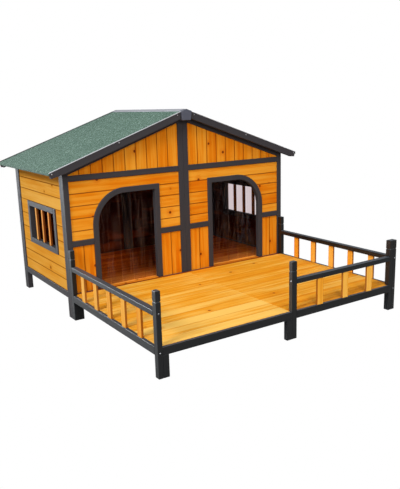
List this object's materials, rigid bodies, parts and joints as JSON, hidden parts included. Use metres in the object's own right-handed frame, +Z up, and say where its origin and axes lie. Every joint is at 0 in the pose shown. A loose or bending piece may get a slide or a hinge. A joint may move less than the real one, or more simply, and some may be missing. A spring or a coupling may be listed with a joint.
{
  "type": "dog house",
  "caption": "Wooden dog house on feet with a pitched felt roof, doorways closed by clear hanging strips, barred side windows and a raised porch with slatted railings.",
  "frame": {"origin": "middle of the whole part's footprint, on the ground", "axes": "+Z up, +Y from the porch to the rear wall, so the porch faces -Y, and +X to the right of someone who faces the doorways"},
  "size_m": [1.5, 1.63, 1],
  "materials": {
    "frame_paint": "charcoal blue-grey paint, satin",
    "stained_boards": "amber stained pine, satin",
    "deck_boards": "light honey stained pine, satin",
    "bare_wood": "plain pine, matt",
    "roof_felt": "green mineral felt, matt",
    "ridge_metal": "grey coated, satin",
    "clear_strip": "clear soft vinyl, gloss"
  },
  "bodies": {
    "house": {"front_frame_left": "frame_paint", "front_planks_left": "stained_boards", "front_gable_boards_left": "stained_boards", "front_lower_boards_left_inner": "stained_boards", "front_lower_boards_left_outer": "stained_boards", "door_frame_left": "frame_paint", "curtain_batten_left": "frame_paint", "side_wall_frame_left": "frame_paint", "side_wall_boards_left": "stained_boards", "window_frame_left": "frame_paint", "window_bar_left_1": "bare_wood", "window_bar_left_2": "bare_wood", "window_bar_left_3": "bare_wood", "roof_panel_left": "bare_wood", "roof_felt_left": "roof_felt", "bargeboard_front_left": "frame_paint", "bargeboard_rear_left": "frame_paint", "deck_frame_left": "frame_paint", "deck_boards_left": "deck_boards", "railing_frame_left": "frame_paint", "balusters_left": "deck_boards", "front_frame_right": "frame_paint", "front_planks_right": "stained_boards", "front_gable_boards_right": "stained_boards", "front_lower_boards_right_inner": "stained_boards", "front_lower_boards_right_outer": "stained_boards", "door_frame_right": "frame_paint", "curtain_batten_right": "frame_paint", "side_wall_frame_right": "frame_paint", "side_wall_boards_right": "stained_boards", "window_frame_right": "frame_paint", "window_bar_right_1": "bare_wood", "window_bar_right_2": "bare_wood", "window_bar_right_3": "bare_wood", "roof_panel_right": "bare_wood", "roof_felt_right": "roof_felt", "bargeboard_front_right": "frame_paint", "bargeboard_rear_right": "frame_paint", "deck_frame_right": "frame_paint", "deck_boards_right": "deck_boards", "railing_frame_right": "frame_paint", "balusters_right": "deck_boards", "rear_frame": "frame_paint", "rear_planks": "stained_boards", "rear_gable_boards": "stained_boards", "floor_panel": "deck_boards", "ridge_beam": "frame_paint", "ridge_cap": "ridge_metal", "railing_frame_front": "frame_paint", "balusters_front": "deck_boards"},
    "curtain_strip_left_1": {"curtain_strip_left_1": "clear_strip"},
    "curtain_strip_left_2": {"curtain_strip_left_2": "clear_strip"},
    "curtain_strip_left_3": {"curtain_strip_left_3": "clear_strip"},
    "curtain_strip_left_4": {"curtain_strip_left_4": "clear_strip"},
    "curtain_strip_left_5": {"curtain_strip_left_5": "clear_strip"},
    "curtain_strip_right_1": {"curtain_strip_right_1": "clear_strip"},
    "curtain_strip_right_2": {"curtain_strip_right_2": "clear_strip"},
    "curtain_strip_right_3": {"curtain_strip_right_3": "clear_strip"},
    "curtain_strip_right_4": {"curtain_strip_right_4": "clear_strip"},
    "curtain_strip_right_5": {"curtain_strip_right_5": "clear_strip"}
  },
  "joints": [
    {"name": "strip_swing_left_1", "type": "hinge", "parent": "house", "child": "curtain_strip_left_1", "pos_m": [-0.2075, 0.074, 0.60295], "axis": [1, 0, 0], "range_deg": [0, 80]},
    {"name": "strip_swing_left_2", "type": "hinge", "parent": "house", "child": "curtain_strip_left_2", "pos_m": [-0.2745, 0.074, 0.60295], "axis": [1, 0, 0], "range_deg": [0, 80]},
    {"name": "strip_swing_left_3", "type": "hinge", "parent": "house", "child": "curtain_strip_left_3", "pos_m": [-0.3415, 0.074, 0.60295], "axis": [1, 0, 0], "range_deg": [0, 80]},
    {"name": "strip_swing_left_4", "type": "hinge", "parent": "house", "child": "curtain_strip_left_4", "pos_m": [-0.4085, 0.074, 0.60295], "axis": [1, 0, 0], "range_deg": [0, 80]},
    {"name": "strip_swing_left_5", "type": "hinge", "parent": "house", "child": "curtain_strip_left_5", "pos_m": [-0.4755, 0.074, 0.60295], "axis": [1, 0, 0], "range_deg": [0, 80]},
    {"name": "strip_swing_right_1", "type": "hinge", "parent": "house", "child": "curtain_strip_right_1", "pos_m": [0.2075, 0.074, 0.60295], "axis": [1, 0, 0], "range_deg": [0, 80]},
    {"name": "strip_swing_right_2", "type": "hinge", "parent": "house", "child": "curtain_strip_right_2", "pos_m": [0.2745, 0.074, 0.60295], "axis": [1, 0, 0], "range_deg": [0, 80]},
    {"name": "strip_swing_right_3", "type": "hinge", "parent": "house", "child": "curtain_strip_right_3", "pos_m": [0.3415, 0.074, 0.60295], "axis": [1, 0, 0], "range_deg": [0, 80]},
    {"name": "strip_swing_right_4", "type": "hinge", "parent": "house", "child": "curtain_strip_right_4", "pos_m": [0.4085, 0.074, 0.60295], "axis": [1, 0, 0], "range_deg": [0, 80]},
    {"name": "strip_swing_right_5", "type": "hinge", "parent": "house", "child": "curtain_strip_right_5", "pos_m": [0.4755, 0.074, 0.60295], "axis": [1, 0, 0], "range_deg": [0, 80]}
  ]
}
